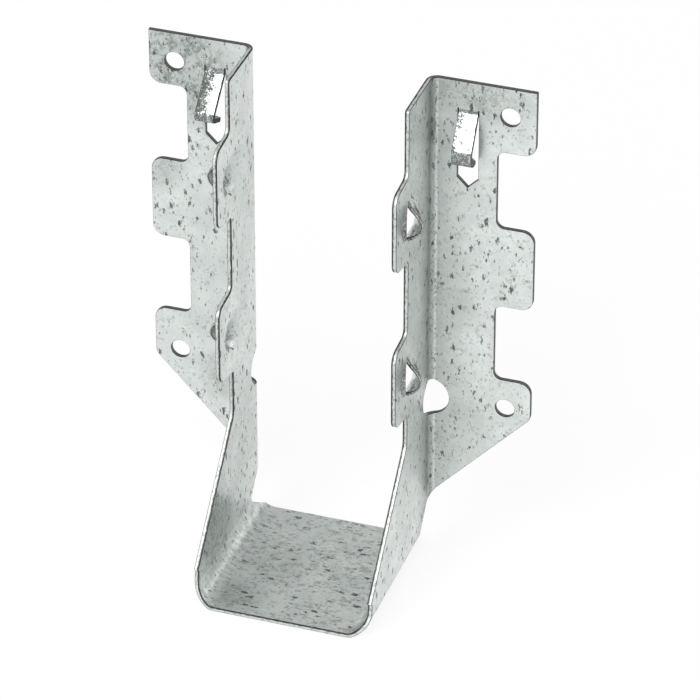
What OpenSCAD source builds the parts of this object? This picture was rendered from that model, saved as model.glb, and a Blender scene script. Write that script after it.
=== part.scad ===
// Face-mount joist hanger, cut and folded from one blank of galvanised sheet steel.
// Two side plates stand on a seat and turn outwards at the back into nailing flanges.
// X runs across the joist, Y from the seat's front edge back to the header, Z up.
// The origin is at the middle of the object's footprint, on the seat's underside.

/* [Sheet] */
// Thickness of the sheet
sheet_t = 1.1; // [0.9:0.05:1.3]
// Inside radius of the folds between the side plates and the flanges
flange_fold_r = 1.5; // [1:0.1:2]
// Inside radius of the folds between the side plates and the seat
seat_fold_r = 4.5; // [4:0.1:5]

/* [Joist pocket] */
// Clear width between the side plates
pocket_w = 39.7; // [36:0.1:48]
// Height from the seat's underside to the top edge
hanger_h = 120.6; // [120:0.1:130]
// Depth from the header face to the seat's front edge
seat_depth = 44.4; // [43:0.1:50]

/* [Flanges] */
// Width of each flange beyond its side plate
flange_w = 23.6; // [22:0.1:26]
// Height from the underside to the lower end of the left flange's top lobe
lobe_z = 107.5; // [106:0.1:109]
// Height of the notches in a flange's outer edge
notch_h = 19.2; // [18:0.1:20]
// Depth of the notches
notch_d = 8.7; // [8:0.1:9]
// Distance from one notch to the next
notch_pitch = 39.3; // [38:0.1:40]
// How far the right flange's notches stand below the left ones
notch_drop = 2.9; // [0:0.1:4]
// Height at which the sloping lower edge meets the outer edge
slope_z = 36.8; // [34:0.1:38]

/* [Nail holes] */
// Diameter of the flange nail holes
nail_d = 4.5; // [4:0.1:5]
// Distance across the object between the nail holes
nail_span = 77.2; // [76:0.1:78]
// Height of the upper nail holes
nail_top_z = 113.6; // [112.5:0.1:114.5]
// Height of the lower nail holes
nail_low_z = 38.7; // [38:0.1:40]
// Diameter of the hole that crosses each flange fold
fold_hole_d = 9.2; // [8:0.1:10]
// Height of that hole
fold_hole_z = 38.5; // [37:0.1:40]

/* [Prongs] */
// Width of the slot that each prong leaves in its flange
slot_w = 4.8; // [4.4:0.1:5]
// Distance from the middle of the object to the middle of a slot
slot_x = 29.1; // [28.6:0.1:29.6]
// Height of the slot's top end, where the prong is hinged
slot_top_z = 113.9; // [112:0.1:115]
// Height of the slot's pointed lower end
slot_tip_z = 94.3; // [93:0.1:96]
// Angle at which the left prong leans out of its flange
left_lean = 46; // [30:1:50]
// Length of the left prong's straight leg from its hinge to its knee
left_leg = 9; // [7:0.1:10]
// Inside radius of the left prong's knee
left_knee_r = 0.5; // [0.5:0.1:2]
// Slope at which the left prong's tip points down and back
left_dip = 23; // [0:1:30]
// Distance of the left prong's tip from the header face
left_tip_gap = 1.9; // [0.3:0.1:3]
// Angle at which the right prong leans out of its flange
right_lean = 33; // [30:1:50]
// Length of the right prong's straight leg from its hinge to its knee
right_leg = 8; // [7:0.1:10]
// Inside radius of the right prong's knee
right_knee_r = 2; // [0.5:0.1:2]
// Slope at which the right prong's tip points down and back
right_dip = 0; // [0:1:30]
// Distance of the right prong's tip from the header face
right_tip_gap = 0.3; // [0.3:0.1:3]

/* [Side plates] */
// Depth of a side plate between its ears
neck_depth = 17.2; // [16.5:0.1:18]
// Depth of a side plate at its ears
ear_depth = 25.7; // [24:0.1:27]
// Height of an ear along its front edge
ear_h = 19; // [17:0.1:20]
// Height of the middle of the left plate's upper ear
ear_z = 97.4; // [96:0.1:98]
// Distance from one ear to the next
ear_pitch = 40; // [39:0.1:41]
// How far the right plate's ears stand below the left ones
ear_drop = 3.4; // [0:0.1:4]
// Height at which the sloping front edge starts
front_slope_z = 34.8; // [33:0.1:36]
// Depth at which the sloping front edge meets the seat fold
front_slope_depth = 41.9; // [41:0.1:42.4]

/* [Nailing domes] */
// Distance between the ends of the curved slit at a dome's mouth
dome_w = 9.8; // [9:0.1:10.5]
// How far the slit bows towards the ear's front edge
dome_bow = 3; // [2:0.1:3.5]
// Height of a dome's lip above the side plate
dome_h = 4.2; // [3:0.1:4.5]
// Length over which a dome runs out towards the flange
dome_l = 12.3; // [11:0.1:13]
// Radius of a dome's ridge
dome_ridge_r = 1.5; // [1:0.1:1.8]
// How far a dome's middle stands below its ear's middle
dome_below_ear = 0.5; // [0:0.1:1]

/* [Hidden] */
$fn = 64;

inner_x = pocket_w / 2;              // inner face of a side plate
outer_x = inner_x + sheet_t;         // outer face of a side plate
fold_x = outer_x + flange_fold_r;    // where a flange's flat part starts
edge_x = outer_x + flange_w;         // outer edge of a flange
notch_x = edge_x - notch_d;          // inner end of a notch
fold_depth = sheet_t + flange_fold_r; // depth of the flange fold
tray_h = sheet_t + seat_fold_r;      // height of the seat with its two folds
lap = 2;                             // overlap of pieces that are one sheet
far = 200;                           // a length past everything

slope_run = 1.05;                    // rise of a flange's sloping edge for each unit outwards
turn_run = 0.5;                      // flat width left below the sloping edge's lower end
corner_z = 9.4;                      // pointed lower corner of a flange fold
lobe_r = 2.8;                        // outer corners of lobes and ears
notch_r = 1.8;                       // inner corners of notches and ears
slope_r = 4;                         // soft turns at the ends of the sloping edges

ear_top_rise = 0.8;                  // an ear's top edge rises this much towards its root
ear_low_drop = 1.6;                  // and its lower edge drops this much
ear_root_r = 0.6;                    // inner corner below an ear

step_z = 8.3;                        // small step where the front edge meets the seat fold
step_d = 0.7;                        // depth of that step
seat_front_z = 0.77;                 // height at which that edge passes over into the seat's
seat_step = 0.35;                    // how far the front edge steps back as it nears the fold
seat_back_depth = 2.6;               // the seat's rear edge, in front of the header face
seat_back_z = 1.4;                   // height to which that edge runs into the folds
relief_depth = 7.2;                  // corner relief between the flange and seat folds
relief_z = 4.6;                      // its height
relief_r = 2;                        // its rounded end

tip_h = slot_w / 2;                  // length of a prong's and a slot's point
prong_gap = 0.3;                     // clearance between a prong and its slot
prong_w = slot_w - prong_gap;        // width of a prong
hinge_r = 2;                         // inside radius of a prong's bend at its hinge
dome_draw = 0.97;                    // size of a dome's hollow against its outside
hood_share = 0.96;                   // width of a dome's outside against its slit's
hood_ahead = 0.3;                    // how far the hollow's own mouth stands ahead of the outside's
slit_gap = 0.1;                      // clearance between a dome's lip and the strip ahead of it
tent_facets = 32;                    // facets of a full circle on a dome's ridge

// ---- outlines with true arcs ----------------------------------------------

function unit(v) = v / norm(v);

// Corner i, given as [x, y, radius], as [arc start, arc end, arc centre, corner, radius, convex]
function corner(pts, i) =
    let (n = len(pts),
         p = [pts[i].x, pts[i].y],
         before = [pts[(i + n - 1) % n].x, pts[(i + n - 1) % n].y],
         after = [pts[(i + 1) % n].x, pts[(i + 1) % n].y],
         u = unit(before - p),
         v = unit(after - p),
         half = acos(u * v) / 2,
         r = pts[i].z)
    [p + u * r / tan(half), p + v * r / tan(half), p + unit(u + v) * r / sin(half), p, r,
     u.x * v.y < u.y * v.x];

module corner_sector(c) {
    intersection() {
        translate(c[2]) circle(c[4]);
        polygon([c[0], c[3], c[1], c[2]]);
    }
}

// An anticlockwise outline with each corner [x, y, radius] rounded
module rounded(pts) {
    corners = [for (i = [0 : len(pts) - 1]) corner(pts, i)];
    difference() {
        union() {
            polygon([for (c = corners) each (c[4] > 0 ? [c[0], c[1]] : [c[3]])]);
            for (c = corners) if (c[4] > 0 && c[5]) corner_sector(c);
        }
        for (c = corners) if (c[4] > 0 && !c[5]) corner_sector(c);
    }
}

// Right flange in X and Z, with the side plate beside it left whole
module flange_outline(drop) {
    top = lobe_z - drop;
    turn_x = fold_x + turn_run;
    rounded([
        [inner_x - lap, 0, 0],
        [outer_x, 0, 0],
        [outer_x, corner_z, 0],
        [turn_x, slope_z - (edge_x - turn_x) * slope_run, slope_r],
        [edge_x, slope_z, lobe_r],
        each notch_corners(top - notch_pitch),
        each notch_corners(top),
        [edge_x, hanger_h, 0],
        [inner_x - lap, hanger_h, 0]]);
}

function notch_corners(top) = [
    [edge_x, top - notch_h, lobe_r],
    [notch_x, top - notch_h, notch_r],
    [notch_x, top, notch_r],
    [edge_x, top, lobe_r]];

// Side plate in Y and Z, with the header face at Y = 0
module side_outline(drop) {
    rounded([
        [0, hanger_h, 0],
        [-neck_depth, hanger_h, ear_root_r],
        each ear_corners(ear_z - drop),
        each ear_corners(ear_z - drop - ear_pitch),
        [-neck_depth, front_slope_z, slope_r],
        [-front_slope_depth, step_z, 0],
        [step_d - front_slope_depth, step_z - step_d, 0],
        [seat_step - front_slope_depth, tray_h - step_d, 0],
        [-seat_depth, seat_front_z, 0],
        [-seat_depth, -lap, 0],
        [-seat_back_depth, -lap, 0],
        [-seat_back_depth, seat_back_z, 0],
        [-relief_depth, relief_z, relief_r],
        [-fold_depth, corner_z + ear_root_r, 0],
        [0, corner_z, 0]]);
}

function ear_corners(z) = [
    [-neck_depth, z + ear_h / 2 + ear_top_rise, notch_r],
    [-ear_depth, z + ear_h / 2, lobe_r],
    [-ear_depth, z - ear_h / 2, lobe_r],
    [-neck_depth, z - ear_h / 2 - ear_low_drop, ear_root_r]];

// Right side plate, fold and flange cut across, in X and Y
module side_section() {
    rounded([
        [inner_x, -seat_depth, 0],
        [outer_x, -seat_depth, 0],
        [outer_x, -sheet_t, flange_fold_r],
        [edge_x, -sheet_t, 0],
        [edge_x, 0, 0],
        [inner_x, 0, flange_fold_r + sheet_t]]);
}

// Seat and both folds cut across, in X and Z, with a little of each side plate
module tray_section() {
    rounded([
        [-outer_x, tray_h + lap, 0],
        [-outer_x, 0, tray_h],
        [outer_x, 0, tray_h],
        [outer_x, tray_h + lap, 0],
        [inner_x, tray_h + lap, 0],
        [inner_x, sheet_t, seat_fold_r],
        [-inner_x, sheet_t, seat_fold_r],
        [-inner_x, tray_h + lap, 0]]);
}

// ---- solids ----------------------------------------------------------------

// Things drawn in X and Z, given a depth in Y from y0 to y1
module along_y(y0, y1) {
    translate([0, y1, 0]) rotate([90, 0, 0]) linear_extrude(y1 - y0) children();
}

// Things drawn in Y and Z, given a width in X from x0 to x1
module along_x(x0, x1) {
    translate([x0, 0, 0]) rotate([90, 0, 90]) linear_extrude(x1 - x0) children();
}

module tray() {
    intersection() {
        along_y(-far, far) tray_section();
        along_x(-far, far) side_outline(0);
    }
}

module side_plate(notches_lower, ears_lower) {
    intersection() {
        translate([0, 0, tray_h]) linear_extrude(hanger_h - tray_h) side_section();
        along_y(-far, far) flange_outline(notches_lower);
        along_x(0, far) side_outline(ears_lower);
    }
}

// Where two straight limbs would meet so that a ridge of radius r between them stands h high
function peak(w, h, r) =
    let (k = pow(2 * r / w, 2), m = h - r)
    (m + sqrt(m * m - (1 - k) * (m * m - r * r))) / (1 - k);

// A tent on the plane X = 0 that is w wide and h high at Y = 0 and runs out to a point at Y = l
module tent(w, h, l) {
    root = sheet_t / 2;
    rotate([-90, 0, 0]) linear_extrude(l, scale = 0)
        rounded([
            [-root, -w / 2, 0],
            [0, -w / 2, 0],
            [peak(w, h, dome_ridge_r), 0, dome_ridge_r],
            [0, w / 2, 0],
            [-root, w / 2, 0]], $fn = tent_facets);
}

// The tent whose mouth is nearly as wide as the slit where it passes the slit's ends
module hood() {
    w = dome_w * hood_share * dome_l / (dome_l - dome_bow);
    translate([0, -dome_bow, 0]) tent(w, dome_h, dome_l);
}

// Everything behind a line that runs a gap ahead of the slit, an arc over dome_w, dome_bow high
module behind_slit(gap) {
    slit_r = (pow(dome_w / 2, 2) + dome_bow * dome_bow) / (2 * dome_bow);
    along_x(-far, far) union() {
        translate([slit_r - dome_bow, 0]) circle(slit_r + gap);
        translate([0, -far]) square([far, 2 * far]);
    }
}

module at_domes(drop) {
    for (i = [0, 1])
        translate([outer_x, -neck_depth, ear_z - dome_below_ear - drop - i * ear_pitch]) children();
}

// What the press pushes out of the plane of the sheet, and the hollow behind it
module dome() {
    intersection() {
        hood();
        behind_slit(0);
    }
}
module dome_hollow() {
    intersection() {
        translate([-sheet_t, -hood_ahead, 0]) scale(dome_draw) hood();
        behind_slit(slit_gap);
    }
}

// A strip's outline with a pointed end, from the origin towards -Y
module pointed(w, l) {
    polygon([[-w / 2, 0], [-w / 2, tip_h - l], [0, -l], [w / 2, tip_h - l], [w / 2, 0]]);
}

// Shift from a corner of a strip's rear line to its front line, between limbs facing a and b
function to_front(a, b) = sheet_t * (a + b) / (1 + a * b);

// A prong leans forward from its hinge, turns at its knee and points back into its slot.
// It is drawn in Y and Z with its hinge at the origin, first its front line, then its rear line.
module prong(lean, leg, knee_r, dip, tip_gap) {
    turn = 90 + lean - dip;
    hinge_reach = (hinge_r + sheet_t) * tan(lean / 2);
    leg_front = [-cos(lean), sin(lean)];
    tip_front = [-sin(dip), -cos(dip)];
    rear_hinge = [0, -hinge_reach];
    rear_knee = rear_hinge - [sin(lean), cos(lean)] * (hinge_reach + leg + knee_r * tan(turn / 2));
    front_hinge = rear_hinge + to_front([-1, 0], leg_front);
    front_knee = rear_knee + to_front(leg_front, tip_front);
    intersection() {
        along_x(-prong_w / 2, prong_w / 2) rounded([
            [0, lap, 0],
            [-sheet_t, lap, 0],
            [front_hinge.x, front_hinge.y, hinge_r],
            [front_knee.x, front_knee.y, knee_r + sheet_t],
            [-tip_gap, front_knee.y + (front_knee.x + tip_gap) * tan(dip), 0],
            [-tip_gap, rear_knee.y + (rear_knee.x + tip_gap) * tan(dip), 0],
            [rear_knee.x, rear_knee.y, knee_r],
            [rear_hinge.x, rear_hinge.y, hinge_r + sheet_t]]);
        union() {
            translate([-far, -far, -hinge_reach - sheet_t]) cube([2 * far, 2 * far, far]);
            translate([0, -far, -far]) linear_extrude(2 * far)
                mirror([0, 1]) pointed(prong_w + lap, far - tip_gap);
        }
    }
}

module nail_holes() {
    for (z = [nail_top_z, nail_low_z])
        translate([nail_span / 2, far / 2, z]) rotate([90, 0, 0]) cylinder(h = far, d = nail_d);
}

// One round hole in the flat sheet, centred on the fold, becomes two half holes
module fold_hole() {
    translate([outer_x, far - fold_depth, fold_hole_z])
        rotate([90, 0, 0]) cylinder(h = far, d = fold_hole_d);
    translate([fold_x - far, -sheet_t, fold_hole_z])
        rotate([0, 90, 0]) cylinder(h = far, d = fold_hole_d);
}

module slot() {
    along_y(-fold_depth, lap)
        translate([slot_x, slot_top_z]) pointed(slot_w, slot_top_z - slot_tip_z);
}

// Right side plate with its flange; the left one is its mirror image, with its own heights
module flanged_side(notches_lower, ears_lower) {
    difference() {
        union() {
            side_plate(notches_lower, ears_lower);
            at_domes(ears_lower) dome();
        }
        at_domes(ears_lower) dome_hollow();
        nail_holes();
        fold_hole();
        slot();
    }
    translate([slot_x, 0, slot_top_z]) children();
}

module hanger() {
    color([0.78, 0.8, 0.79]) translate([0, seat_depth / 2, 0]) {
        tray();
        flanged_side(notch_drop, ear_drop)
            prong(right_lean, right_leg, right_knee_r, right_dip, right_tip_gap);
        mirror([1, 0, 0]) flanged_side(0, 0)
            prong(left_lean, left_leg, left_knee_r, left_dip, left_tip_gap);
    }
}

hanger();
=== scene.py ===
"""A joist hanger folded from one blank of galvanised sheet, on a pale floor in soft light.

The sheet is drawn flat, as it is cut, given its thickness and its broken edges, and then
folded, lanced and pressed by one mapping. Flat sizes are in millimetres.
"""

import logging
import math
from dataclasses import dataclass, field
from enum import Enum

import bmesh
import bpy
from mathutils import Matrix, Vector


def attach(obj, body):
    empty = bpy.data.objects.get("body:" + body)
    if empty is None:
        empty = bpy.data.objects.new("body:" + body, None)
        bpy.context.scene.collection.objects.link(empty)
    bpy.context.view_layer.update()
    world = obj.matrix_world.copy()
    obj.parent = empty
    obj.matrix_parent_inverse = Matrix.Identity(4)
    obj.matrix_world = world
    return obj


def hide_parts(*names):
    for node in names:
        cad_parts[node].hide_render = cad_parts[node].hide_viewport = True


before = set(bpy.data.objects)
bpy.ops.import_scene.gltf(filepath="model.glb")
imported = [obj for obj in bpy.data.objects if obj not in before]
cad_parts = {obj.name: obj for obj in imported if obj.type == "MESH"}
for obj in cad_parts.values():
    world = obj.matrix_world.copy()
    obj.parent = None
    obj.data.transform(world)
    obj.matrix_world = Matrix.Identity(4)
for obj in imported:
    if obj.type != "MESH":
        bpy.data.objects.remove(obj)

LOG = logging.getLogger("hanger")
MM = 0.001
NODE = "hanger"
STRAIGHT = 1e-9  # a turn below this counts as none

Corner = tuple[float, float, float]
Point = tuple[float, float]
Range = tuple[float, float]
Place = tuple[float, float, float]
Colour = tuple[float, float, float]
Socket = bpy.types.NodeSocket
Tree = bpy.types.NodeTree
Faces = list[bmesh.types.BMFace]


class Side(Enum):
    """The two side plates, as the sign of X."""

    LEFT = -1
    RIGHT = 1

    @classmethod
    def of(cls, across: float) -> "Side":
        """The side on which a place across the flat sheet lies."""
        return cls.RIGHT if across > 0 else cls.LEFT


def rounded(
    corners: list[Corner], step: float = math.radians(9), merge: float = 0.01
) -> list[Point]:
    """Turns corners of a closed outline into points, with true arcs at rounded corners.

    Args:
        corners: x, y and radius of each corner, in order.
        step: the most that an arc turns between two points.
        merge: the distance below which two points are one.

    Returns:
        The outline's points.
    """
    points: list[Point] = []
    for i, (x, y, radius) in enumerate(corners):
        if radius == 0:
            points.append((x, y))
            continue
        here = Vector((x, y))
        to_last = (Vector(corners[i - 1][:2]) - here).normalized()
        to_next = (Vector(corners[(i + 1) % len(corners)][:2]) - here).normalized()
        half = to_last.angle(to_next) / 2
        centre = here + (to_last + to_next).normalized() * (radius / math.sin(half))
        start = here + to_last * (radius / math.tan(half)) - centre
        turn = (math.pi - 2 * half) * (1 if to_next.cross(to_last) > 0 else -1)
        count = max(2, math.ceil(abs(turn) / step))
        for k in range(count + 1):
            angle = turn * k / count
            cos, sin = math.cos(angle), math.sin(angle)
            points.append(
                (centre.x + start.x * cos - start.y * sin, centre.y + start.x * sin + start.y * cos)
            )
    return [p for i, p in enumerate(points) if math.dist(p, points[i - 1]) > merge]


def placed(name: str, data: bpy.types.ID, place: Place = (0, 0, 0)) -> bpy.types.Object:
    """Makes an object at a place and links it to the scene."""
    obj = bpy.data.objects.new(name, data)
    obj.location = place
    bpy.context.scene.collection.objects.link(obj)
    return obj


@dataclass(frozen=True)
class Lance:
    """A nailing dome: a curved cut whose rear side is pushed out of the sheet."""

    half_length: float = 4.9
    depth: float = 17.2
    bow: float = 3.0
    gap: float = 0.04
    cut_steps: int = 28

    height: float = 4.2
    run: float = 12.5
    fullness: float = 1.3
    shoulder: float = 0.9
    draw_back: float = 0.07
    thinning: float = 0.6
    drag: float = 0.8  # push of the strip in front of the cut
    drag_run: float = 2.4

    worked_behind: float = 4.5
    # the dark beside the cut reaches further on the pocket side: soot and painted shade in the
    # dome's hollow
    worked_and_shaded_inside: float = 7.0
    worked_ahead: float = 3.2
    worked_rise: float = 2.0

    def cut(self, v: float) -> float:
        """The depth coordinate of the cut at v along it."""
        return -self.depth - self.bow * (1 - (v / self.half_length) ** 2)

    def swell(self, v: float) -> float:
        """How far the dome stands out at v along the cut, from 0 to 1."""
        return max(0.0, 1 - (v / self.half_length) ** 2) ** self.fullness

    def outline(self, centre: float) -> list[Point]:
        """The cut's outline as a very narrow slot in the flat sheet."""
        steps = self.cut_steps
        along = [self.half_length * (2 * k / steps - 1) for k in range(steps + 1)]
        front = [(centre + v, self.cut(v) - self.gap / 2) for v in along]
        back = [(centre + v, self.cut(v) + self.gap / 2) for v in reversed(along)]
        return front + back

    def push(self, v: float, b: float, behind: bool) -> tuple[float, float]:
        """How far a point is pushed outwards and back.

        Args:
            v: place along the cut.
            b: depth coordinate in the flat sheet.
            behind: whether the point is on the dome's side of the cut.

        Returns:
            The push out of the sheet's plane and the push towards the header.
        """
        if abs(v) >= self.half_length:
            return 0.0, 0.0
        away = b - self.cut(v)
        if behind:
            part = min(1.0, max(0.0, away) / (self.run + self.cut(0) - self.cut(v)))
            out = self.height * self.swell(v) * (1 - part) ** 2 * (1 + self.shoulder * part)
            return out, self.draw_back * out * out
        part = max(0.0, 1 + min(0.0, away) / self.drag_run)
        return self.drag * self.swell(v) * part * part, 0.0

    def worked(self, v: float, b: float, inside: bool) -> float:
        """How hard the press has worked the sheet beside the cut, from 0 to 1; on the side that
        faces the pocket it reaches further into the dome's hollow, where it is partly soot and
        partly painted shade.

        Args:
            v: place along the cut.
            b: depth coordinate in the flat sheet.
            inside: whether the point is on the side that faces the pocket.

        Returns:
            The share.
        """
        away = b - self.cut(v)
        behind = self.worked_and_shaded_inside if inside else self.worked_behind
        reach = behind if away > 0 else self.worked_ahead
        near = max(0.0, 1 - abs(away) / reach)
        return min(1.0, self.worked_rise * near) * min(1.0, self.worked_rise * self.swell(v))

    def drawn(self, v: float, b: float) -> float:
        """What is left of the sheet's thickness where the dome is drawn out."""
        away = b - self.cut(v)
        if away < 0:
            return 1.0
        return 1 - self.thinning * self.swell(v) * max(0.0, 1 - away / self.run)


@dataclass(frozen=True)
class Prong:
    """A tongue of the flange that leans out, turns at a knee and points back."""

    lean: float  # angle at which the leg leans out of the flange
    leg: float  # length of the straight leg between the hinge and the knee
    knee_radius: float
    dip: float  # slope at which the tip points down
    tip_gap: float  # distance of the tip from the header's face
    left_edge_shade: float  # painted shade: how much darker the leg grows towards its left edge
    width: float = 4.5
    hinge_radius: float = 2.0

    def stretches(self, thickness: float) -> list[tuple[float, float]]:
        """Length and turn of each stretch of the middle line, from the hinge to the tip."""
        hinge = self.hinge_radius + thickness / 2
        knee = self.knee_radius + thickness / 2
        reach = hinge * (1 - math.cos(self.lean)) + self.leg * math.sin(self.lean)
        reach -= knee * (math.cos(self.lean) - math.sin(self.dip))
        turn = math.pi / 2 + self.lean - self.dip
        back = (reach + thickness / 2 - self.tip_gap) / math.cos(self.dip)
        return [(hinge * self.lean, -self.lean), (self.leg, 0), (knee * turn, turn), (back, 0)]

    def length(self, thickness: float) -> float:
        """The middle line's whole length."""
        return sum(length for length, _ in self.stretches(thickness))

    def place(self, along: float, thickness: float) -> Point:
        """Depth and drop of the middle line at a length from the hinge.

        Args:
            along: length from the hinge.
            thickness: the sheet's thickness.

        Returns:
            Movement towards the header and movement down, both from the hinge.
        """
        y, down, heading = 0.0, 0.0, 0.0
        for length, turn in self.stretches(thickness):
            part = min(length, along)
            bend = turn * part / length
            if abs(bend) > STRAIGHT:
                radius = length / turn
                y += radius * (math.cos(heading) - math.cos(heading + bend))
                down += radius * (math.sin(heading + bend) - math.sin(heading))
            else:
                y += part * math.sin(heading)
                down += part * math.cos(heading)
            heading += bend
            along -= part
            if along <= 0:
                break
        return y + along * math.sin(heading), down + along * math.cos(heading)

    def bends(self, thickness: float, step: float) -> list[float]:
        """Lengths from the hinge at which the flat tongue is cut so that it can bend."""
        places, start = [], 0.0
        for length, turn in self.stretches(thickness):
            count = math.ceil(abs(turn) / step)
            places += [start + length * k / count for k in range(count + 1)] if count else []
            start += length
        return places


@dataclass(frozen=True)
class Blank:
    """The flat sheet and the way it folds.

    In the flat sheet the first coordinate, s, runs across the object, up one side plate,
    down the other, and the second, b, runs from the seat's front edge back along the side
    plates and on into the flanges. The header's face is at depth 0.
    """

    thickness: float = 1.1
    pocket: float = 39.7
    height: float = 120.6
    depth: float = 44.4
    flange: float = 23.6
    seat_fold: float = 4.5
    flange_fold: float = 1.5

    lobe_z: float = 107.5
    lobe_round: float = 2.8
    notch_height: float = 19.2
    notch_depth: float = 8.7
    notch_round: float = 1.8
    notch_pitch: float = 39.3
    notch_drop: float = 2.9
    slope_z: float = 36.8
    slope_rise: float = 1.05
    slope_round: float = 4.0
    turn_run: float = 1.0
    fold_corner_z: float = 10.0
    fold_corner_round: float = 0.5
    relief_z: float = 4.6
    relief_depth: float = 7.2
    relief_round: float = 1.6
    seat_back_z: float = 1.4
    seat_back_depth: float = 2.6

    neck: float = 17.2
    ear_depth: float = 25.7
    ear_height: float = 19.0
    ear_z: float = 97.4
    ear_pitch: float = 40.0
    ear_drop: float = 3.4
    ear_top_rise: float = 0.8
    ear_low_drop: float = 1.6
    ear_root_round: float = 0.6
    dome_below_ear: float = 0.5
    front_slope_z: float = 34.8
    front_slope_depth: float = 41.9
    step_z: float = 8.3
    step_depth: float = 0.7
    seat_step: float = 0.35
    seat_front_z: float = 0.77

    nail_radius: float = 2.25
    nail_x: float = 38.6
    nail_z: Range = (113.6, 38.7)
    fold_hole_radius: float = 4.65
    fold_hole_z: float = 38.5
    slot_x: float = 29.1
    slot_width: float = 4.8
    slot_top: float = 113.9
    slot_tip: float = 94.3
    tongue_margin: float = 0.03  # how far beside a tongue a point still belongs to it

    edge_round: float = 0.12
    near: float = 0.02
    probe: float = 0.01  # step by which the folded sheet's normal is found
    leg_wear: float = 0.25
    lance: Lance = Lance()
    prongs: dict[Side, Prong] = field(
        default_factory=lambda: {
            Side.LEFT: Prong(math.radians(46), 9.0, 0.5, math.radians(23), 1.9, 1.3),
            Side.RIGHT: Prong(math.radians(33), 8.0, 2.0, 0.0, 0.3, 0.9),
        }
    )

    @property
    def seat_half(self) -> float:
        """Half of the seat's flat width."""
        return self.pocket / 2 - self.seat_fold

    @property
    def seat_bend(self) -> float:
        """Middle radius of the seat's folds."""
        return self.seat_fold + self.thickness / 2

    @property
    def flange_bend(self) -> float:
        """Middle radius of the flange folds."""
        return self.flange_fold + self.thickness / 2

    @property
    def tray(self) -> float:
        """Height of the seat with its folds."""
        return self.thickness + self.seat_fold

    @property
    def fold_start(self) -> float:
        """Depth coordinate at which the flange folds start."""
        return -self.thickness - self.flange_fold

    @property
    def fold_end(self) -> float:
        """Depth coordinate of the flat sheet at which the flange folds end."""
        return self.fold_start + self.flange_bend * math.pi / 2

    @property
    def fold_x(self) -> float:
        """Place across the object at which a flange is flat."""
        return self.pocket / 2 + self.thickness + self.flange_fold

    @property
    def edge_x(self) -> float:
        """Place across the object of a flange's outer edge."""
        return self.pocket / 2 + self.thickness + self.flange

    def across(self, z: float) -> float:
        """Distance over the sheet from its middle line to height z on a side plate."""
        if z >= self.tray:
            return self.seat_half + self.seat_bend * math.pi / 2 + z - self.tray
        return self.seat_half + self.seat_bend * math.acos((self.tray - z) / self.seat_bend)

    def along(self, x: float) -> float:
        """Depth coordinate in the flat sheet of a place x on a flange."""
        return self.fold_end + x - self.fold_x

    def _half(self, side: Side) -> list[Corner]:
        """Corners of one half, from the seat's front edge round to its rear edge."""
        lower = side is Side.RIGHT
        ear = self.ear_z - (self.ear_drop if lower else 0)
        lobe = self.lobe_z - (self.notch_drop if lower else 0)
        edge = self.along(self.edge_x)
        turn_x = self.fold_x + self.turn_run
        turn_z = self.slope_z - (self.edge_x - turn_x) * self.slope_rise
        front = -self.front_slope_depth
        plate = [
            (self.seat_front_z, -self.depth, 0),
            (self.tray - self.step_depth, self.seat_step + front, 0),
            (self.step_z - self.step_depth, self.step_depth + front, 0),
            (self.step_z, front, 0),
            (self.front_slope_z, -self.neck, self.slope_round),
        ]
        for middle in (ear - self.ear_pitch, ear):
            plate += self._ear(middle)
        flange = [(self.height, -self.neck, self.ear_root_round), (self.height, edge, 0)]
        for top in (lobe, lobe - self.notch_pitch):
            flange += self._notch(top, edge)
        flange += [
            (self.slope_z, edge, self.lobe_round),
            (turn_z, self.along(turn_x), self.slope_round),
            (self.fold_corner_z, self.fold_start, self.fold_corner_round),
            (self.relief_z, -self.relief_depth, self.relief_round),
            (self.seat_back_z, -self.seat_back_depth, 0),
        ]
        return [(self.across(z), b, radius) for z, b, radius in plate + flange]

    def _ear(self, middle: float) -> list[Corner]:
        """Corners of an ear, upwards."""
        half = self.ear_height / 2
        return [
            (middle - half - self.ear_low_drop, -self.neck, self.ear_root_round),
            (middle - half, -self.ear_depth, self.lobe_round),
            (middle + half, -self.ear_depth, self.lobe_round),
            (middle + half + self.ear_top_rise, -self.neck, self.notch_round),
        ]

    def _notch(self, top: float, edge: float) -> list[Corner]:
        """Corners of a notch in a flange's outer edge, downwards."""
        low, inner = top - self.notch_height, edge - self.notch_depth
        return [
            (top, edge, self.lobe_round),
            (top, inner, self.notch_round),
            (low, inner, self.notch_round),
            (low, edge, self.lobe_round),
        ]

    def outline(self) -> list[Point]:
        """The blank's outer edge."""
        right = self._half(Side.RIGHT)
        left = [(-s, b, radius) for s, b, radius in reversed(self._half(Side.LEFT))]
        return rounded(right + left)

    def domes(self, side: Side) -> list[float]:
        """Place across the sheet of each dome's middle."""
        top = self.ear_z - self.dome_below_ear - (self.ear_drop if side is Side.RIGHT else 0)
        return [side.value * self.across(top - k * self.ear_pitch) for k in (0, 1)]

    def holes(self) -> list[list[Point]]:
        """Every hole, slot and cut of the blank."""
        found = []
        for side in Side:
            for z in self.nail_z:
                centre = (side.value * self.across(z), self.along(self.nail_x))
                found.append(self._circle(centre, self.nail_radius))
            middle = (self.fold_start + self.fold_end) / 2
            centre = (side.value * self.across(self.fold_hole_z), middle)
            found.append(self._circle(centre, self.fold_hole_radius))
            found += [self.lance.outline(centre) for centre in self.domes(side)]
            found.append(self._prong_slot(side))
        return found

    def _circle(self, centre: Point, radius: float) -> list[Point]:
        """A round hole."""
        s, b = centre
        signs = ((1, 1), (-1, 1), (-1, -1), (1, -1))
        return rounded([(s + i * radius, b + j * radius, radius) for i, j in signs])

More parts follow.
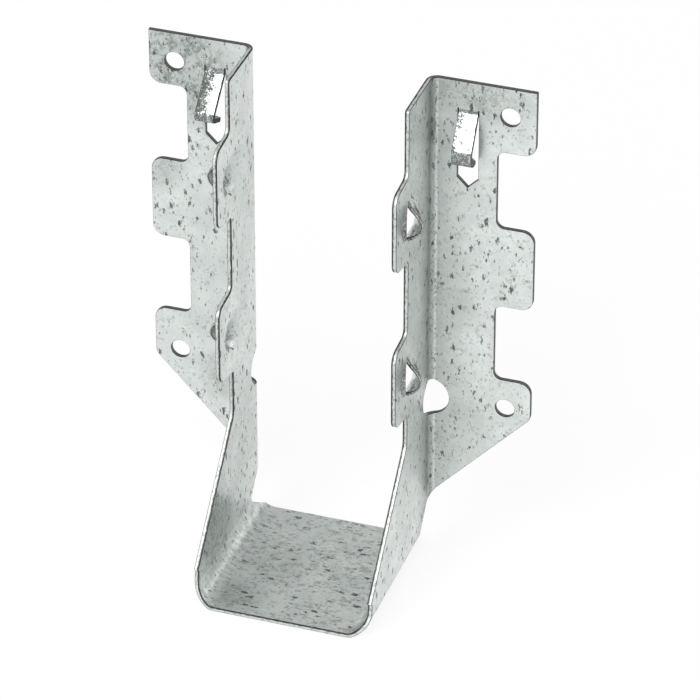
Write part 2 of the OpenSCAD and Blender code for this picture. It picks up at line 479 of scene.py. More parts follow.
    def _prong_slot(self, side: Side) -> list[Point]:
        """The cut round a prong's tongue, which leaves it joined at its hinge."""
        b = self.along(self.slot_x)
        top, tip = self.slot_top, self.slot_tip
        wide, narrow = self.slot_width / 2, self.prongs[side].width / 2
        gap = wide - narrow
        points = [
            (top, b - wide),
            (top, b - narrow),
            (tip + wide + gap, b - narrow),
            (tip + 2 * gap, b),
            (tip + wide + gap, b + narrow),
            (top, b + narrow),
            (top, b + wide),
            (tip + wide, b + wide),
            (tip, b),
            (tip + wide, b - wide),
        ]
        return [(side.value * self.across(z), depth) for z, depth in points]

    def _tongue_share(self, s: float, b: float) -> float | None:
        """How far down a prong's tongue a flat point is, from 0 to 1, or None beside it."""
        z = abs(s) - self.across(self.tray) + self.tray
        reach = self.prongs[Side.of(s)].width / 2 + self.tongue_margin
        beside = abs(b - self.along(self.slot_x)) > reach
        if beside or not self.slot_tip < z < self.slot_top:
            return None
        return (self.slot_top - z) / (self.slot_top - self.slot_tip)

    def worked(self, s: float, b: float, w: float) -> float:
        """How hard the press has worked the flat point s, b at height w, from 0 to 1, with painted
        shade towards a prong leg's left edge and in the domes' hollows.
        """
        side = Side.of(s)
        share = self._tongue_share(s, b)
        if share is not None:
            prong = self.prongs[side]
            (hinge, _), (leg, _), *_ = prong.stretches(self.thickness)
            along = share * prong.length(self.thickness)
            if not hinge - self.near <= along <= hinge + leg + self.near:
                return 1.0
            # painted shade: the leg darkens from its right edge towards its left edge
            leftward = (self.along(self.slot_x) - b) * side.value / prong.width + 0.5
            return self.leg_wear + (prong.left_edge_shade - self.leg_wear) * leftward
        for centre in self.domes(side):
            if abs(s - centre) < self.lance.half_length:
                return self.lance.worked(s - centre, b, w > 0)
        return 0.0

    def middle(self, s: float, b: float, tongue: bool, dome: float | None, behind: bool) -> Vector:
        """Folds one point of the sheet's middle surface.

        Args:
            s: place across the flat sheet.
            b: depth coordinate in the flat sheet.
            tongue: whether the point belongs to a prong.
            dome: the middle of the dome that shapes the point, or None.
            behind: whether the point is on the dome's side of its cut.

        Returns:
            The point on the folded hanger, in millimetres.
        """
        side = Side.of(s)
        run = abs(s) - self.seat_half
        x, z = abs(s), self.thickness / 2
        if run > 0:
            angle = min(run / self.seat_bend, math.pi / 2)
            x = self.seat_half + self.seat_bend * math.sin(angle)
            z = self.tray - self.seat_bend * math.cos(angle)
            z += max(0.0, run - self.seat_bend * math.pi / 2)
        y = b
        if run > self.seat_bend * math.pi / 2 and b > self.fold_start:
            angle = min((b - self.fold_start) / self.flange_bend, math.pi / 2)
            x = self.fold_x - self.flange_bend * math.cos(angle)
            y = self.fold_start + self.flange_bend * math.sin(angle)
            x += max(0.0, b - self.fold_end)
        if tongue:
            prong = self.prongs[side]
            share = (self.slot_top - z) / (self.slot_top - self.slot_tip)
            back, down = prong.place(share * prong.length(self.thickness), self.thickness)
            y, z = y + back, self.slot_top - down
        if dome is not None:
            out, back = self.lance.push(s - dome, b, behind)
            x, y = x + out, y + back
        return Vector((side.value * x, y, z))

    def fold(self, flat: Vector) -> Vector:
        """Folds one point of the thick sheet.

        Args:
            flat: place across, depth coordinate, and height above the middle surface.

        Returns:
            The point on the folded hanger, in metres, in the row frame.
        """
        s, b, w = flat
        share = self._tongue_share(s, b)
        dome, behind = None, False
        for centre in self.domes(Side.of(s)):
            if abs(s - centre) < self.lance.half_length:
                dome, behind = centre, b > self.lance.cut(s - centre)
        if dome is not None:
            w *= self.lance.drawn(s - dome, b)
        args = (share is not None, dome, behind)
        step = self.probe
        along_s = self.middle(s + step, b, *args) - self.middle(s - step, b, *args)
        along_b = self.middle(s, b + step, *args) - self.middle(s, b - step, *args)
        normal = along_s.cross(along_b).normalized()
        place = self.middle(s, b, *args) + normal * w
        return (place + Vector((0, self.depth / 2, 0))) * MM


@dataclass(frozen=True)
class Sheet:
    """The folded sheet's mesh."""

    blank: Blank = Blank()
    bend_step: float = math.radians(7)
    dome_step: float = 0.42
    join: float = 0.003
    on_line: float = 1e-4
    edge_segments: int = 2
    smooth_angle: float = math.radians(35)

    def build(self, name: str) -> bpy.types.Object:
        """Makes the shown sheet.

        Args:
            name: the piece's name.

        Returns:
            The finished object, riding on the root and standing for the node.
        """
        bm = bmesh.new()
        self._fill(bm)
        self._cut_for_folds(bm)
        self._cut_for_domes(bm)
        self._thicken(bm)
        flat = [v.co.copy() for v in bm.verts]
        for vertex in bm.verts:
            vertex.co = self.blank.fold(vertex.co)
        mesh = bpy.data.meshes.new(name)
        bm.to_mesh(mesh)
        bm.free()
        self._keep_flat_places(mesh, flat)
        for polygon in mesh.polygons:
            polygon.use_smooth = True
        mesh.set_sharp_from_angle(angle=self.smooth_angle)
        obj = placed(name, mesh)
        weighted = obj.modifiers.new("weighted", "WEIGHTED_NORMAL")
        weighted.keep_sharp = True
        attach(obj, "root")
        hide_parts(NODE)
        LOG.info("sheet: %d faces", len(mesh.polygons))
        return obj

    def _keep_flat_places(self, mesh: bpy.types.Mesh, flat: list[Vector]) -> None:
        """Stores each point's place in the flat sheet and how hard it was worked."""
        attribute = mesh.attributes.new("blank", "FLOAT_VECTOR", "POINT")
        for item, place in zip(attribute.data, flat, strict=True):
            item.vector = place
        attribute = mesh.attributes.new("worked", "FLOAT", "POINT")
        for item, place in zip(attribute.data, flat, strict=True):
            item.value = self.blank.worked(*place)

    def _fill(self, bm: bmesh.types.BMesh) -> None:
        """Draws the blank's outlines and fills the sheet between them."""
        for points in [self.blank.outline(), *self.blank.holes()]:
            ring = [bm.verts.new((s, b, 0)) for s, b in points]
            for first, second in zip(ring, ring[1:] + ring[:1], strict=True):
                bm.edges.new((first, second))
        bmesh.ops.triangle_fill(bm, use_beauty=True, edges=bm.edges[:], normal=(0, 0, 1))
        bmesh.ops.dissolve_degenerate(bm, dist=self.join, edges=bm.edges[:])

    def _bisect(self, bm: bmesh.types.BMesh, faces: Faces, place: Point, across: Point) -> None:
        """Cuts faces along the line through a place, at right angles to a direction."""
        verts = {v for f in faces for v in f.verts}
        edges = {e for f in faces for e in f.edges}
        bmesh.ops.bisect_plane(
            bm,
            geom=[*verts, *edges, *faces],
            dist=self.on_line,
            plane_co=(*place, 0),
            plane_no=(*across, 0),
        )

    def _cut_for_folds(self, bm: bmesh.types.BMesh) -> None:
        """Cuts the sheet along the lines at which it bends."""
        blank = self.blank
        count = math.ceil(math.pi / 2 / self.bend_step)
        for k in range(count + 1):
            angle = math.pi / 2 * k / count
            for side in Side:
                s = side.value * (blank.seat_half + blank.seat_bend * angle)
                self._bisect(bm, bm.faces[:], (s, 0), (1, 0))
            b = blank.fold_start + blank.flange_bend * angle
            self._bisect(bm, bm.faces[:], (0, b), (0, 1))
        b = blank.along(blank.slot_x)
        for side in Side:
            prong = blank.prongs[side]
            scale = (blank.slot_top - blank.slot_tip) / prong.length(blank.thickness)
            for length in prong.bends(blank.thickness, self.bend_step):
                s = side.value * blank.across(blank.slot_top - length * scale)
                middles = [(f, f.calc_center_median()) for f in bm.faces]
                near = [f for f, c in middles if abs(c.y - b) < prong.width and c.x * s > 0]
                self._bisect(bm, near, (s, 0), (1, 0))

    def _cut_for_domes(self, bm: bmesh.types.BMesh) -> None:
        """Cuts a fine grid where a dome is pressed."""
        lance = self.blank.lance
        half = lance.half_length
        low = lance.cut(0) - lance.drag_run
        high = low + lance.drag_run + lance.run + lance.bow
        rows = math.ceil((high - low) / self.dome_step)
        columns = math.ceil(2 * half / self.dome_step)
        for centre in [c for side in Side for c in self.blank.domes(side)]:
            for s in (centre - half, centre + half):
                self._bisect(bm, bm.faces[:], (s, 0), (1, 0))
            for b in (low, high):
                self._bisect(bm, self._inside(bm, centre, half), (0, b), (0, 1))
            for k in range(rows):
                b = low + (high - low) * k / rows
                self._bisect(bm, self._inside(bm, centre, half), (0, b), (0, 1))
            for k in range(columns):
                s = centre - half + 2 * half * k / columns
                strip = self._inside(bm, centre, half)
                near = [f for f in strip if low < f.calc_center_median().y < high]
                self._bisect(bm, near, (s, 0), (1, 0))

    @staticmethod
    def _inside(bm: bmesh.types.BMesh, centre: float, half: float) -> Faces:
        """Faces of the strip of sheet beside a dome's cut."""
        return [f for f in bm.faces if abs(f.calc_center_median().x - centre) < half]

    def _thicken(self, bm: bmesh.types.BMesh) -> None:
        """Gives the flat sheet its thickness and breaks its edges."""
        thickness = self.blank.thickness
        bmesh.ops.dissolve_degenerate(bm, dist=self.join, edges=bm.edges[:])
        bmesh.ops.recalc_face_normals(bm, faces=bm.faces)
        bmesh.ops.solidify(bm, geom=bm.faces[:], thickness=thickness)
        low = min(v.co.z for v in bm.verts)
        bmesh.ops.translate(bm, verts=bm.verts, vec=(0, 0, -thickness / 2 - low))
        bmesh.ops.recalc_face_normals(bm, faces=bm.faces)
        rims = [e for e in bm.edges if {abs(round(f.normal.z)) for f in e.link_faces} == {0, 1}]
        bmesh.ops.bevel(
            bm,
            geom=rims,
            offset=self.blank.edge_round,
            offset_type="OFFSET",
            segments=self.edge_segments,
            profile=0.5,
            affect="EDGES",
            clamp_overlap=False,
        )


class Wiring:
    """A short way to add and join the nodes of one tree."""

    spacing: float = 180

    def __init__(self, tree: Tree) -> None:
        """Starts with an empty row of nodes."""
        self.tree = tree
        self.column = 0

    def add(self, kind: str, inputs: dict | None = None, **settings: object) -> bpy.types.Node:
        """Adds a node.

        Args:
            kind: the node's type, without its ShaderNode prefix.
            inputs: values or output sockets for its inputs, by name or number.
            settings: the node's own settings.

        Returns:
            The node.
        """
        node = self.tree.nodes.new(f"ShaderNode{kind}")
        node.location = (self.spacing * self.column, 0)
        self.column += 1
        for name, value in settings.items():
            setattr(node, name, value)
        for key, value in (inputs or {}).items():
            self.join(value, node.inputs[key])
        return node

    def join(self, value: Socket | float | tuple, socket: Socket) -> None:
        """Links an output to an input, or sets a constant on it."""
        if isinstance(value, Socket):
            self.tree.links.new(value, socket)
        else:
            socket.default_value = value

    def math(self, operation: str, *values: Socket | float) -> Socket:
        """Adds a Math node and gives its result."""
        return self.add("Math", dict(enumerate(values)), operation=operation).outputs[0]

    def times(self, first: Socket | float, second: Socket | float) -> Socket:
        """Gives the product of two values."""
        return self.math("MULTIPLY", first, second)

    def most(self, first: Socket | float, *others: Socket | float) -> Socket:
        """Gives the largest of several values."""
        for other in others:
            first = self.math("MAXIMUM", first, other)
        return first

    def total(self, *parts: tuple[Socket, float]) -> Socket:
        """Gives the sum of values, each with its weight."""
        (first, weight), *rest = parts
        result = self.times(first, weight)
        for value, weight in rest:
            result = self.math("MULTIPLY_ADD", value, weight, result)
        return result

    def ramp(self, value: Socket, source: Range, target: Range = (0.0, 1.0)) -> Socket:
        """Eases a value from one range into another and gives the result."""
        inputs = {"Value": value, "From Min": source[0], "From Max": source[1]}
        inputs |= {"To Min": target[0], "To Max": target[1]}
        return self.add("MapRange", inputs, interpolation_type="SMOOTHSTEP").outputs[0]

    def blend(self, share: Socket, first: Socket | Colour, second: Socket | Colour) -> Socket:
        """Mixes two colours and gives the result."""
        node = self.add("Mix", {0: share}, data_type="RGBA")
        for number, value in ((6, first), (7, second)):
            self.join(value if isinstance(value, Socket) else (*value, 1), node.inputs[number])
        return node.outputs[2]

    def seen(self) -> Socket:
        """Gives 1 where the camera sees a thing, also in metal or through glass."""
        path = self.add("LightPath").outputs
        return self.most(path["Is Camera Ray"], path["Is Glossy Ray"], path["Is Transmission Ray"])


def node_group(
    name: str, inputs: dict[str, tuple[str, float | None]], outputs: dict[str, str]
) -> tuple[Tree, Wiring, bpy.types.Node, bpy.types.Node]:
    """Makes an empty shader node group with named sockets.

    Args:
        name: the group's name.
        inputs: socket kind and default of each input.
        outputs: socket kind of each output.

    Returns:
        The group, its wiring, its input node and its output node.
    """
    tree = bpy.data.node_groups.new(name, "ShaderNodeTree")
    for label, (kind, default) in inputs.items():
        socket = tree.interface.new_socket(label, in_out="INPUT", socket_type=f"NodeSocket{kind}")
        if default is not None:
            socket.default_value = default
    for label, kind in outputs.items():
        tree.interface.new_socket(label, in_out="OUTPUT", socket_type=f"NodeSocket{kind}")
    source = tree.nodes.new("NodeGroupInput")
    sink = tree.nodes.new("NodeGroupOutput")
    return tree, Wiring(tree), source, sink


@dataclass(frozen=True)
class SpeckOutline:
    """The ragged outline of the zinc's specks, each in its own cell of the sheet."""

    finer: float = 2.6
    detail: float = 4.0
    roughness: float = 0.75
    largest: float = 0.36
    fade: Range = (-0.015, 0.05)

    def group(self) -> Tree:
        """Makes a group with a mask that is 1 inside a speck."""
        tree, wire, source, sink = node_group(
            "speck",
            {
                "Place": ("Vector", None),
                "Size": ("Float", 1.0),
                "Share": ("Float", 0.3),
                "Ragged": ("Float", 0.5),
            },
            {"Mask": "Float"},
        )
        place, size, share, ragged = source.outputs[:4]
        scale = wire.math("DIVIDE", 1.0, size)
        inputs = {"Vector": place, "Scale": wire.times(scale, self.finer)}
        inputs |= {"Detail": self.detail, "Roughness": self.roughness}
        noise = wire.add("TexNoise", inputs).outputs["Color"]
        half = (0.5, 0.5, 0.5)
        centred = wire.add("VectorMath", {0: noise, 1: half}, operation="SUBTRACT").outputs[0]
        inputs = {0: centred, "Scale": wire.times(size, ragged)}
        shift = wire.add("VectorMath", inputs, operation="SCALE").outputs[0]
        moved = wire.add("VectorMath", {0: place, 1: shift}, operation="ADD").outputs[0]
        cells = wire.add("TexVoronoi", {"Vector": moved, "Scale": scale})
        chance = wire.add("SeparateColor", {0: cells.outputs["Color"]}).outputs[0]
        missing = wire.math("SUBTRACT", 1.0, share)
        radius = wire.times(wire.math("SUBTRACT", chance, missing), self.largest)
        radius = wire.math("DIVIDE", radius, share)
        inside = wire.math("SUBTRACT", radius, cells.outputs["Distance"])
        wire.join(wire.ramp(inside, self.fade), sink.inputs["Mask"])
        return tree


@dataclass(frozen=True)
class ShearedEdge:
    """The zones of the sheet's sheared edges across its thickness."""

    half_thickness: float = 0.55
    face: Range = (0.97, 1.0)
    # painted shade: where the dark line along each arris begins and where it is full
    arris_shade: Range = (0.66, 0.82)
    break_line: Range = (0.05, 0.2)
    wander: float = 0.5
    wander_scale: float = 0.9
    wander_detail: float = 3.0

    def group(self) -> Tree:
        """Makes a group with masks of the sheared faces, their rough zone and the painted shade
        along their arrises.
        """
        tree, wire, source, sink = node_group(
            "sheared_edge",
            {"Place": ("Vector", None), "Half thickness": ("Float", self.half_thickness)},
            {"Sheared": "Float", "Rough zone": "Float", "Arris shade": "Float"},
        )
        place, half_thickness = source.outputs[:2]
        height = wire.add("SeparateXYZ", {0: place}).outputs[2]
        share = wire.math("DIVIDE", wire.math("ABSOLUTE", height), half_thickness)
        inputs = {"Vector": place, "Scale": self.wander_scale, "Detail": self.wander_detail}
        wander = wire.math("SUBTRACT", wire.add("TexNoise", inputs).outputs[0], 0.5)
        border = wire.math("ADD", height, wire.times(wander, self.wander))
        wire.join(wire.ramp(share, self.face, (1.0, 0.0)), sink.inputs["Sheared"])
        wire.join(wire.ramp(border, self.break_line), sink.inputs["Rough zone"])
        wire.join(wire.ramp(share, self.arris_shade), sink.inputs["Arris shade"])
        return tree


@dataclass(frozen=True)
class Specks:
    """One size of speck and how thickly it lies."""

    size: float
    share: float
    ragged: float
    shift: float
    base: float = 1.0
    gain: float = 0.0


@dataclass(frozen=True)
class StainAndShade:
    """A darker patch of the zinc; most are stains, and those marked in the list are painted shade.
    """

    across: float
    depth: float
    reach: Point
    strength: float


@dataclass(frozen=True)
class Galvanised:
    """Colours and sizes of the zinc coating and the sheared edges."""

    pale: Colour = (0.730, 0.765, 0.745)
    dull: Colour = (0.600, 0.643, 0.623)
    # dark haze of soot and stains, also used for painted shade in the band before the flange folds
    # and in the shade patches
    murk_and_shade: Colour = (0.21, 0.235, 0.22)
    # near-black of the flecks and scuffs, also used for the painted shade in the domes' hollows and
    # on the prong legs
    fleck_and_shade: Colour = (0.06, 0.068, 0.064)
    bright_edge: Colour = (0.60, 0.62, 0.605)
    rough_edge: Colour = (0.07, 0.073, 0.07)
    # painted shade: the dark line along the arrises of the sheared edges
    arris_shade_colour: Colour = (0.02, 0.022, 0.02)

    cloud_size: float = 7.0
    crowd_size: float = 5.0
    patch_size: float = 2.4
    grain_size: float = 0.8
    dust_size: float = 0.3
    dust_detail: float = 2.0
    noise_roughness: float = 0.62

    tone: Range = (0.4, 0.6)
    specks: tuple[Specks, ...] = (
        Specks(2.0, 0.75, 1.5, 0),
        Specks(1.15, 0.7, 1.3, 31, 0.4, 0.6),
        Specks(0.6, 0.55, 1.1, 57, 0.2, 0.55),
    )
    speck_turn: float = 0.5
    speck_stretch: Place = (0.7, 1.4, 1.0)
    crowded: Range = (0.42, 0.6)
    mark_strength: float = 0.9
    soot_strength: float = 0.5
    patch_rim: Range = (0.35, 1.1)
    patch_depth: float = 10.0

    streak_stretch: Place = (0.75, 1.2, 1.0)
    streak_scale: float = 0.75
    streak_detail: float = 5.0
    streak_roughness: float = 0.72
    scuff_and_shade_strength: float = 0.85
    hollow_shade_strength: float = 0.9
    flange_edge_dark: float = 0.9
    arris_shade_strength: float = 0.9

    roughness: Range = (0.36, 0.28)
    mark_roughness: float = 0.2
    edge_roughness: float = 0.6
    scuff_roughness: float = 0.85
    bend_roughness: float = 0.4
    metallic: Range = (0.8, 0.2)
    bump_strength: float = 0.12
    bump_distance: float = 0.0002

    @staticmethod
    def stains_and_shade(blank: Blank) -> list[StainAndShade]:
        """Every darker patch, on the flanges, the side plates and the seat; most are stains, and
        those marked are painted shade.
        """
        up, out = blank.across, blank.along
        return [
            StainAndShade(-up(113), out(37), (18, 14), 1.0),
            StainAndShade(-up(105), out(31.4), (10, 2), 1.0),
            StainAndShade(-up(88), out(42), (10, 7), 0.6),
            # painted shade: a wide faint darkening over the left flange
            StainAndShade(-up(62), out(32), (34, 13), 0.22),
            StainAndShade(-up(34), out(28), (9, 8), 0.6),
            # painted shade: a wide faint darkening over the left side plate
            StainAndShade(-up(92), -10, (34, 12), 0.22),
            # these two darken the left side plate towards its bottom
            StainAndShade(-up(26), -14, (24, 16), 0.4),
            StainAndShade(-up(13), -30, (15, 14), 0.9),
            # painted shade: a faint darkening of the right side plate beside its flange fold
            StainAndShade(up(70), -8, (40, 9), 0.16),
            StainAndShade(up(25), -15, (18, 14), 0.35),
            StainAndShade(-12, -38, (9, 7), 0.5),
            StainAndShade(-7, -24, (8, 11), 0.4),
            StainAndShade(blank.seat_half + 4, -43, (5, 3), 1.0),
            StainAndShade(up(117), out(32), (7, 16), 0.7),
        ]

    def material(self, name: str, blank: Blank) -> bpy.types.Material:
        """Makes the finish of the flat sheet as a material of that name."""
        mat = bpy.data.materials.new(name)
        mat.use_nodes = True
        Coating(self, blank, mat.node_tree).dress(mat.node_tree.nodes["Principled BSDF"])
        return mat


class Coating:
    """The wiring of the galvanised finish in one material."""

    def __init__(self, finish: Galvanised, blank: Blank, tree: Tree) -> None:
        """Reads the flat sheet's coordinates and makes the noises that the effects share."""
        self.finish = finish
        self.blank = blank
        self.wire = Wiring(tree)
        self.place = self.wire.add("Attribute", attribute_name="blank").outputs["Vector"]
        s, self.depth, height = self.wire.add("SeparateXYZ", {0: self.place}).outputs
        self.across = self.wire.math("ABSOLUTE", s)
        self.outside = self.wire.ramp(height, (-0.5, -0.4), (1.0, 0.0))
        self.patch = self._noise(finish.patch_size)
        self.grain = self._noise(finish.grain_size)
        self.dust = self._noise(finish.dust_size, finish.dust_detail)
        self.streak = self._streak()

    def _noise(self, size: float, detail: float = 3.0) -> Socket:
        """Cloudy patches of one size."""
        inputs = {"Vector": self.place, "Scale": 1 / size, "Detail": detail}
        inputs["Roughness"] = self.finish.noise_roughness
        return self.wire.add("TexNoise", inputs).outputs[0]

    def _streak(self) -> Socket:
        """Streaks that run across the sheet."""
        finish = self.finish
        inputs = {"Vector": self.place, "Scale": finish.streak_stretch}
        stretched = self.wire.add("Mapping", inputs).outputs[0]
        inputs = {"Vector": stretched, "Scale": finish.streak_scale}
        inputs |= {"Detail": finish.streak_detail, "Roughness": finish.streak_roughness}
        return self.wire.add("TexNoise", inputs).outputs[0]

    def _stain_and_shade(self, dark_patch: StainAndShade) -> Socket:
        """How much one of the darker patches darkens the sheet."""
        wire = self.wire
        middle = (dark_patch.across, dark_patch.depth, 0)
        reach = (*dark_patch.reach, self.finish.patch_depth)
        away = wire.add("VectorMath", {0: self.place, 1: middle}, operation="SUBTRACT").outputs[0]
        away = wire.add("VectorMath", {0: away, 1: reach}, operation="DIVIDE").outputs[0]
        far = wire.add("VectorMath", {0: away}, operation="LENGTH").outputs["Value"]
        return wire.ramp(far, self.finish.patch_rim, (dark_patch.strength, 0.0))

    def _specks(self, specks: Specks, group: Tree, crowd: Socket) -> Socket:
        """Specks of one size, drawn by a group, thicker where the sheet is crowded."""
        shift = specks.shift
        inputs = {"Vector": self.place, "Location": (shift, -shift, 0)}
        inputs["Rotation"] = (0, 0, self.finish.speck_turn + shift)
        inputs["Scale"] = self.finish.speck_stretch
        moved = self.wire.add("Mapping", inputs).outputs[0]
        inputs = {"Size": specks.size, "Share": specks.share, "Ragged": specks.ragged}
        node = self.wire.add("Group", node_tree=group)
        for label, value in (inputs | {"Place": moved}).items():
            self.wire.join(value, node.inputs[label])
        mask = node.outputs["Mask"]
        if not specks.gain:
            return mask
        crowded = self.wire.math("MULTIPLY_ADD", crowd, specks.gain, specks.base)
        return self.wire.times(mask, crowded)

    def _marks(self, dirt_and_shade: Socket) -> Socket:
        """The dark flecks of all sizes, thickest in the darker patches, painted shade included."""
        wire = self.wire
        clouds = self._noise(self.finish.crowd_size)
        crowd = wire.most(wire.ramp(clouds, self.finish.crowded), dirt_and_shade)
        group = SpeckOutline().group()
        marks = wire.most(*[self._specks(specks, group, crowd) for specks in self.finish.specks])
        return wire.times(marks, wire.ramp(self.grain, (0.3, 0.5), (0.6, 1.0)))

    def _bend(self) -> Socket:
        """Where the seat's folds are."""
        start = self.blank.seat_half
        rise = self.wire.ramp(self.across, (start + 0.5, start + 3))
        fall = self.wire.ramp(self.across, (start + 5, start + 8.5), (1.0, 0.0))
        return self.wire.times(rise, fall)

    def _murk_and_shade(self, dirt_and_shade: Socket, bend: Socket) -> list[Socket]:
        """Soot, the darker patches, streaks on the seat, darker streaks along its folds, and a band
        of painted shade before the flanges.
        """
        wire = self.wire
        soot = wire.times(wire.ramp(self.patch, (0.5, 0.66)), wire.ramp(self.grain, (0.4, 0.6)))
        blotch = wire.total((self.patch, 0.8), (self.dust, 0.5), (self.grain, 0.7))
        patches = wire.times(dirt_and_shade, wire.ramp(blotch, (0.9, 1.14), (0.3, 0.9)))
        start = self.blank.seat_half
        on_seat = wire.ramp(self.across, (start, start + 6), (0.5, 0.0))
        before_fold = wire.ramp(self.depth, (-11.0, -2.5))
        past_fold = wire.ramp(self.depth, (-0.8, 0.2), (0.62, 0.0))
        return [
            wire.most(wire.times(soot, self.finish.soot_strength), patches),
            wire.times(wire.ramp(self.streak, (0.5, 0.62)), on_seat),
            # darker streaks along the seat's folds
            wire.times(bend, wire.ramp(self.streak, (0.42, 0.58), (0.05, 0.34))),
            # painted shade: a darker band on the plates' outer faces before the flange folds and
            # through most of each bend
            wire.times(wire.times(before_fold, past_fold), self.outside),
        ]

    def _worked(self) -> Socket:
        """How hard the press has worked the sheet, with the outside of the flange folds."""
        wire = self.wire
        pressed = wire.add("Attribute", attribute_name="worked").outputs["Fac"]
        rise = wire.ramp(self.depth, (-4.0, -1.0))
        crease = wire.times(rise, wire.ramp(self.depth, (-0.2, 1.4), (0.55, 0.0)))
        return wire.most(pressed, wire.times(crease, self.outside))

    def _scuff_and_shade(self, worked: Socket) -> Socket:
        """The torn and blackened zinc where the press has worked it, with painted shade where it
        darkens the domes' hollows on the pocket side and a prong leg towards its left edge.
        """
        wire = self.wire
        speckle = wire.total((self.dust, 0.5), (self.grain, 0.5), (worked, 0.3))
        scuff_and_shade = wire.times(wire.ramp(speckle, (0.64, 0.84)), wire.ramp(worked, (0.02, 0.3)))
        # the darkening on the pocket side is partly painted shade in the domes' hollows
        hollow_shade = self.finish.hollow_shade_strength
        return wire.times(scuff_and_shade, wire.math("MULTIPLY_ADD", self.outside, 1 - hollow_shade, hollow_shade))

    def _cut_colour(self, edge: bpy.types.Node, worked: Socket) -> Socket:
        """Colour of the sheared edges, bright on the side plates and dark on the flanges, with a
        line of painted shade along each arris.
        """
        wire, finish = self.wire, self.finish
        on_flange = wire.times(wire.ramp(self.depth, (-3.0, -1.0)), finish.flange_edge_dark)
        glints = wire.ramp(self.dust, (0.42, 0.56), (1.0, 0.1))
        spoiled = wire.times(wire.ramp(worked, (0.3, 0.6)), glints)
        dark = wire.most(on_flange, spoiled, edge.outputs["Rough zone"])
        colour = wire.blend(dark, finish.bright_edge, finish.rough_edge)
        colour = wire.blend(wire.ramp(self.grain, (0.5, 0.64), (0.0, 0.6)), colour, finish.murk_and_shade)
        # painted shade: a dark line where each sheared face rounds into the skins
        arris_shade = wire.times(edge.outputs["Arris shade"], finish.arris_shade_strength)
        return wire.blend(arris_shade, colour, finish.arris_shade_colour)

    def dress(self, shader: bpy.types.Node) -> None:
        """Feeds the finish to a Principled shader."""
        wire, finish = self.wire, self.finish
        dirt_and_shade = wire.most(*[self._stain_and_shade(dark_patch) for dark_patch in finish.stains_and_shade(self.blank)])
        marks = self._marks(dirt_and_shade)
        bend = self._bend()
        worked = self._worked()
        scuff_and_shade = self._scuff_and_shade(worked)
        cloud = self._noise(finish.cloud_size)
        tone = wire.total((cloud, 0.35), (self.patch, 0.35), (self.dust, 0.1), (self.grain, 0.2))

        zinc = wire.blend(wire.ramp(tone, finish.tone), finish.dull, finish.pale)
        for haze in self._murk_and_shade(dirt_and_shade, bend):
            zinc = wire.blend(haze, zinc, finish.murk_and_shade)
        zinc = wire.blend(wire.times(marks, finish.mark_strength), zinc, finish.fleck_and_shade)
        zinc = wire.blend(wire.times(scuff_and_shade, finish.scuff_and_shade_strength), zinc, finish.fleck_and_shade)
        edge = wire.add("Group", node_tree=ShearedEdge().group())
        wire.join(self.place, edge.inputs["Place"])
        sheared = edge.outputs["Sheared"]
        colour = wire.blend(sheared, zinc, self._cut_colour(edge, worked))
        wire.join(colour, shader.inputs["Base Color"])

        rough = wire.ramp(tone, finish.tone, finish.roughness)
        rough = wire.most(
            wire.math("ADD", wire.times(marks, finish.mark_roughness), rough),
            wire.times(sheared, finish.edge_roughness),
            wire.times(scuff_and_shade, finish.scuff_roughness),
            wire.times(bend, finish.bend_roughness),
        )
        wire.join(rough, shader.inputs["Roughness"])
        wire.join(wire.ramp(scuff_and_shade, (0.0, 1.0), finish.metallic), shader.inputs["Metallic"])
        relief = wire.total((self.grain, 0.5), (marks, -0.6))
        inputs = {"Height": relief, "Strength": finish.bump_strength}
        bump = wire.add("Bump", inputs | {"Distance": finish.bump_distance})
        wire.join(bump.outputs[0], shader.inputs["Normal"])


@dataclass(frozen=True)
class Viewpoint:
    """The camera's place, aim and lens."""

    place: Place = (0.3042, -0.8714, 0.6516)
    tilt: float = math.radians(57.3)
    turn: float = math.radians(18.7)
    lens: float = 256.5
    sensor: float = 36.0
    reach: float = 20.0

    def build(self) -> None:
        """Makes the camera and gives it to the scene."""
        data = bpy.data.cameras.new("camera")
        data.lens = self.lens
        data.sensor_width = self.sensor
        data.clip_end = self.reach
        obj = placed("camera", data, self.place)
        obj.rotation_euler = (self.tilt, 0, self.turn)
        bpy.context.scene.camera = obj


@dataclass(frozen=True)
class SoftBox:
    """One square area light aimed at the middle of the object."""

    name: str
    place: Place
    size: float
    power: float
    aim: Place = (0, 0, 0.06)

    def build(self) -> None:
        """Makes the light."""
        data = bpy.data.lights.new(self.name, "AREA")
        data.shape = "SQUARE"
        data.size = self.size
        data.energy = self.power
        away = Vector(self.aim) - Vector(self.place)
        obj = placed(self.name, data, self.place)
        obj.rotation_euler = away.to_track_quat("-Z", "Y").to_euler()


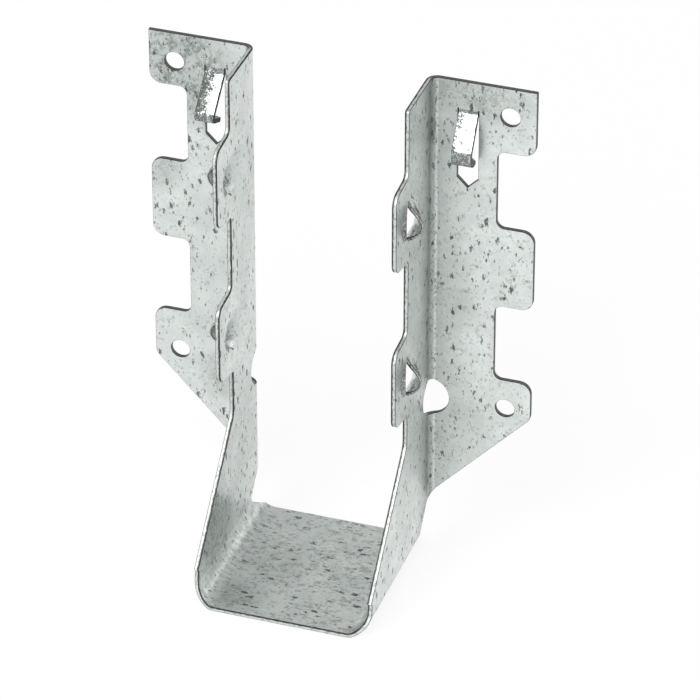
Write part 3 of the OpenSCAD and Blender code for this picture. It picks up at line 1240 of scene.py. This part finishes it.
@dataclass(frozen=True)
class Studio:
    """The pale floor, the pale surroundings and the soft boxes."""

    floor_size: float = 40.0
    floor_drop: float = 0.05 * MM  # keeps the floor just clear of the seat
    floor_colour: Colour = (0.9, 0.9, 0.9)
    floor_roughness: float = 0.9
    floor_white: float = 0.85
    horizon: Range = (0.1, 0.4)  # rise of the way up at which white passes into the duller top
    world_levels: Range = (1.0, 0.58)
    boxes: tuple[SoftBox, ...] = (
        SoftBox("key", (-0.25, -1.4, 1.4), size=1.5, power=36),
        SoftBox("fill", (1.3, -0.4, 0.9), size=0.9, power=2),
        SoftBox("rim", (1.0, 1.5, 0.6), size=0.5, power=1.5),
    )

    def build(self) -> None:
        """Makes the whole studio."""
        self._floor()
        self._world()
        for box in self.boxes:
            box.build()

    def _floor(self) -> None:
        """Makes the floor, which the camera sees near to white but which keeps a shadow."""
        bm = bmesh.new()
        bmesh.ops.create_grid(bm, x_segments=1, y_segments=1, size=self.floor_size / 2)
        mesh = bpy.data.meshes.new("floor")
        bm.to_mesh(mesh)
        bm.free()
        obj = placed("floor", mesh, (0, 0, -self.floor_drop))
        mat = bpy.data.materials.new("pale_floor")
        mat.use_nodes = True
        wire = Wiring(mat.node_tree)
        shader = mat.node_tree.nodes["Principled BSDF"]
        shader.inputs["Base Color"].default_value = (*self.floor_colour, 1)
        shader.inputs["Roughness"].default_value = self.floor_roughness
        white = wire.add("Emission")
        share = wire.times(wire.seen(), self.floor_white)
        mix = wire.add("MixShader", {0: share, 1: shader.outputs[0], 2: white.outputs[0]})
        wire.join(mix.outputs[0], wire.tree.nodes["Material Output"].inputs[0])
        mesh.materials.append(mat)

    def _world(self) -> None:
        """Makes the even light all round, white at the horizon and duller overhead."""
        world = bpy.data.worlds.new("studio")
        bpy.context.scene.world = world
        world.use_nodes = True
        light = world.node_tree.nodes["Background"]
        light.inputs["Color"].default_value = (1, 1, 1, 1)
        wire = Wiring(world.node_tree)
        way = wire.add("TexCoord").outputs["Generated"]
        rise = wire.add("SeparateXYZ", {0: way}).outputs[2]
        wire.join(wire.ramp(rise, self.horizon, self.world_levels), light.inputs["Strength"])


def build() -> None:
    """Builds the piece, its finish, the studio and the camera."""
    logging.basicConfig(level=logging.INFO)
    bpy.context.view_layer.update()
    sheet = Sheet()
    piece = sheet.build("folded_sheet")
    piece.data.materials.append(Galvanised().material("galvanised", sheet.blank))
    Studio().build()
    Viewpoint().build()
    bpy.context.scene.view_settings.view_transform = "Standard"


if __name__ == "__main__":
    build()
